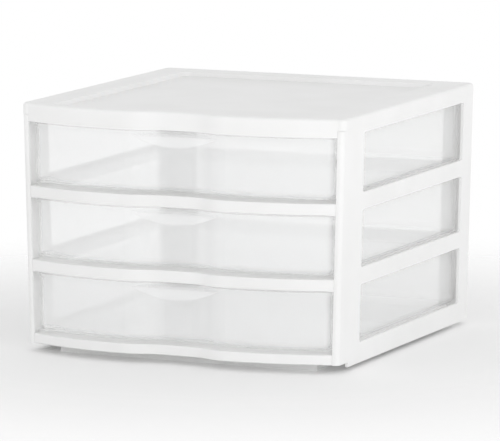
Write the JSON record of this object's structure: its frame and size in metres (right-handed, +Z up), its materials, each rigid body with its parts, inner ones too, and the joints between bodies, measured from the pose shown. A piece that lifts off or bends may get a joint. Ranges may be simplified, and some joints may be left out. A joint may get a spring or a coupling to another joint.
{
  "type": "desktop storage unit",
  "caption": "Desktop drawer organizer: a white frame with open side windows, a shallow tray top and a waved front, with clear sliding drawers that have crescent pull lips.",
  "frame": {"origin": "middle of the footprint, on the surface the unit stands on", "axes": "+Z up; the drawers face and slide out towards -Y; +X to the right as seen from the front"},
  "size_m": [0.363, 0.3766, 0.26],
  "materials": {
    "frame_white": "satin moulded",
    "drawer_clear": "clear moulded, slightly grey"
  },
  "bodies": {
    "frame": {"top_panel": "frame_white", "left_side_frame": "frame_white", "right_side_frame": "frame_white", "upper_front_rail": "frame_white", "lower_front_rail": "frame_white", "base_front_rail": "frame_white", "upper_rear_rail": "frame_white", "lower_rear_rail": "frame_white", "base_rear_rail": "frame_white"},
    "top_drawer": {"top_drawer": "drawer_clear"},
    "middle_drawer": {"middle_drawer": "drawer_clear"},
    "bottom_drawer": {"bottom_drawer": "drawer_clear"}
  },
  "joints": [
    {"name": "top_drawer_slide", "type": "slide", "parent": "frame", "child": "top_drawer", "axis": [0, -1, 0], "range_m": [0, 0.24]},
    {"name": "middle_drawer_slide", "type": "slide", "parent": "frame", "child": "middle_drawer", "axis": [0, -1, 0], "range_m": [0, 0.24]},
    {"name": "bottom_drawer_slide", "type": "slide", "parent": "frame", "child": "bottom_drawer", "axis": [0, -1, 0], "range_m": [0, 0.24]}
  ]
}
